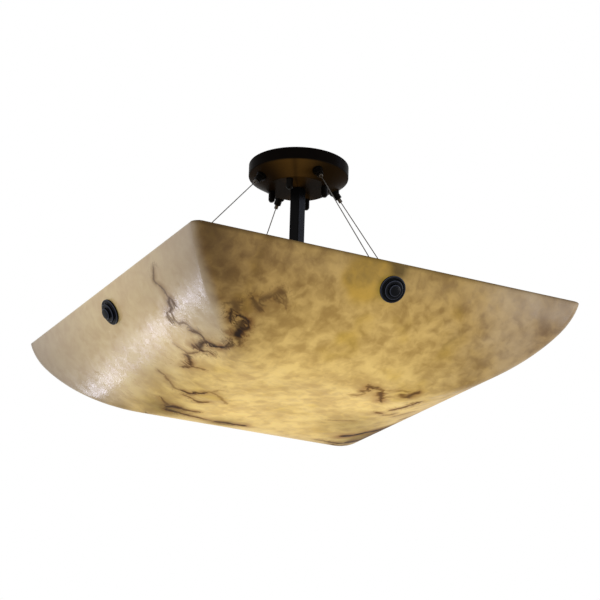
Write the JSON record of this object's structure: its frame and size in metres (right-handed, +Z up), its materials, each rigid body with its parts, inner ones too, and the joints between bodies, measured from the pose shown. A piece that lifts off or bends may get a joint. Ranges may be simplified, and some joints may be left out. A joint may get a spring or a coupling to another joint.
{
  "type": "semi flush ceiling light",
  "caption": "Square slumped resin bowl on taut steel cables below a round canopy, with a square stem that carries a cluster of lamps and round stepped finials at the cable anchors.",
  "frame": {"origin": "centre of the canopy's ceiling face, on the stem's axis", "axes": "+Z up into the ceiling, the bowl's sides face along X and Y, the picture's near side is between -Y and -X"},
  "size_m": [0.61, 0.61, 0.385],
  "materials": {
    "canopy_paint": "dark bronze, satin",
    "stem_paint": "dark bronze, satin",
    "finial_paint": "near-black bronze, satin",
    "zinc_steel": "zinc plated",
    "cable_steel": "stranded wire rope",
    "release_steel": "satin",
    "ground_screw": "green",
    "porcelain": "glazed white",
    "shell_brass": "plain",
    "lamp_cap": "plain",
    "bulb_glass": "frosted",
    "bowl_resin": "polished, cloudy amber and beige with dark veins",
    "gasket": "matte"
  },
  "bodies": {
    "fixture": {"bowl": "bowl_resin", "cable_anchors": "zinc_steel", "cable_back": "cable_steel", "cable_ball_ends": "zinc_steel", "cable_front": "cable_steel", "cable_left": "cable_steel", "cable_right": "cable_steel", "canopy": "canopy_paint", "canopy_cap_nuts": "canopy_paint", "canopy_studs": "zinc_steel", "cap_nut_washers": "canopy_paint", "centre_contacts": "shell_brass", "cluster_rod": "zinc_steel", "finial_bolts": "zinc_steel", "gripper_barrels": "canopy_paint", "gripper_nuts": "zinc_steel", "gripper_seats": "canopy_paint", "gripper_washers": "zinc_steel", "ground_screw": "ground_screw", "hub_acorn_nut": "stem_paint", "hub_lid": "stem_paint", "hub_lock_nut": "zinc_steel", "inner_gaskets": "gasket", "inner_washers": "zinc_steel", "lamp_hub": "stem_paint", "lampholder_nuts": "zinc_steel", "lampholder_pipes": "zinc_steel", "lampholders": "porcelain", "mounting_plate": "zinc_steel", "outer_gaskets": "gasket", "screw_shells": "shell_brass", "side_finials": "finial_paint", "stem": "stem_paint", "stem_foot_plug": "zinc_steel", "stem_lock_nut": "zinc_steel", "stem_pipe": "zinc_steel", "stem_top_plug": "zinc_steel", "stem_washer": "zinc_steel", "stud_nuts": "zinc_steel"},
    "release_right": {"release_right": "release_steel"},
    "release_back": {"release_back": "release_steel"},
    "release_left": {"release_left": "release_steel"},
    "release_front": {"release_front": "release_steel"},
    "lamp_back_right": {"lamp_cap_back_right": "lamp_cap", "bulb_back_right": "bulb_glass"},
    "lamp_back_left": {"lamp_cap_back_left": "lamp_cap", "bulb_back_left": "bulb_glass"},
    "lamp_front_left": {"lamp_cap_front_left": "lamp_cap", "bulb_front_left": "bulb_glass"},
    "lamp_front_right": {"lamp_cap_front_right": "lamp_cap", "bulb_front_right": "bulb_glass"}
  },
  "joints": [
    {"name": "release_right_press", "type": "slide", "parent": "fixture", "child": "release_right", "axis": [-0.6455, 0, 0.7638], "range_m": [0, 0.003], "stiffness_N_per_m": 300, "springref_m": -0.003},
    {"name": "release_back_press", "type": "slide", "parent": "fixture", "child": "release_back", "axis": [0, -0.6455, 0.7638], "range_m": [0, 0.003], "stiffness_N_per_m": 300, "springref_m": -0.003},
    {"name": "release_left_press", "type": "slide", "parent": "fixture", "child": "release_left", "axis": [0.6455, 0, 0.7638], "range_m": [0, 0.003], "stiffness_N_per_m": 300, "springref_m": -0.003},
    {"name": "release_front_press", "type": "slide", "parent": "fixture", "child": "release_front", "axis": [0, 0.6455, 0.7638], "range_m": [0, 0.003], "stiffness_N_per_m": 300, "springref_m": -0.003},
    {"name": "lamp_back_right_screw", "type": "hinge", "parent": "fixture", "child": "lamp_back_right", "pos_m": [0, 0, -0.312], "axis": [0.7071, 0.7071, 0], "range_deg": [0, 900]},
    {"name": "lamp_back_left_screw", "type": "hinge", "parent": "fixture", "child": "lamp_back_left", "pos_m": [0, 0, -0.312], "axis": [-0.7071, 0.7071, 0], "range_deg": [0, 900]},
    {"name": "lamp_front_left_screw", "type": "hinge", "parent": "fixture", "child": "lamp_front_left", "pos_m": [0, 0, -0.312], "axis": [-0.7071, -0.7071, 0], "range_deg": [0, 900]},
    {"name": "lamp_front_right_screw", "type": "hinge", "parent": "fixture", "child": "lamp_front_right", "pos_m": [0, 0, -0.312], "axis": [0.7071, -0.7071, 0], "range_deg": [0, 900]}
  ]
}
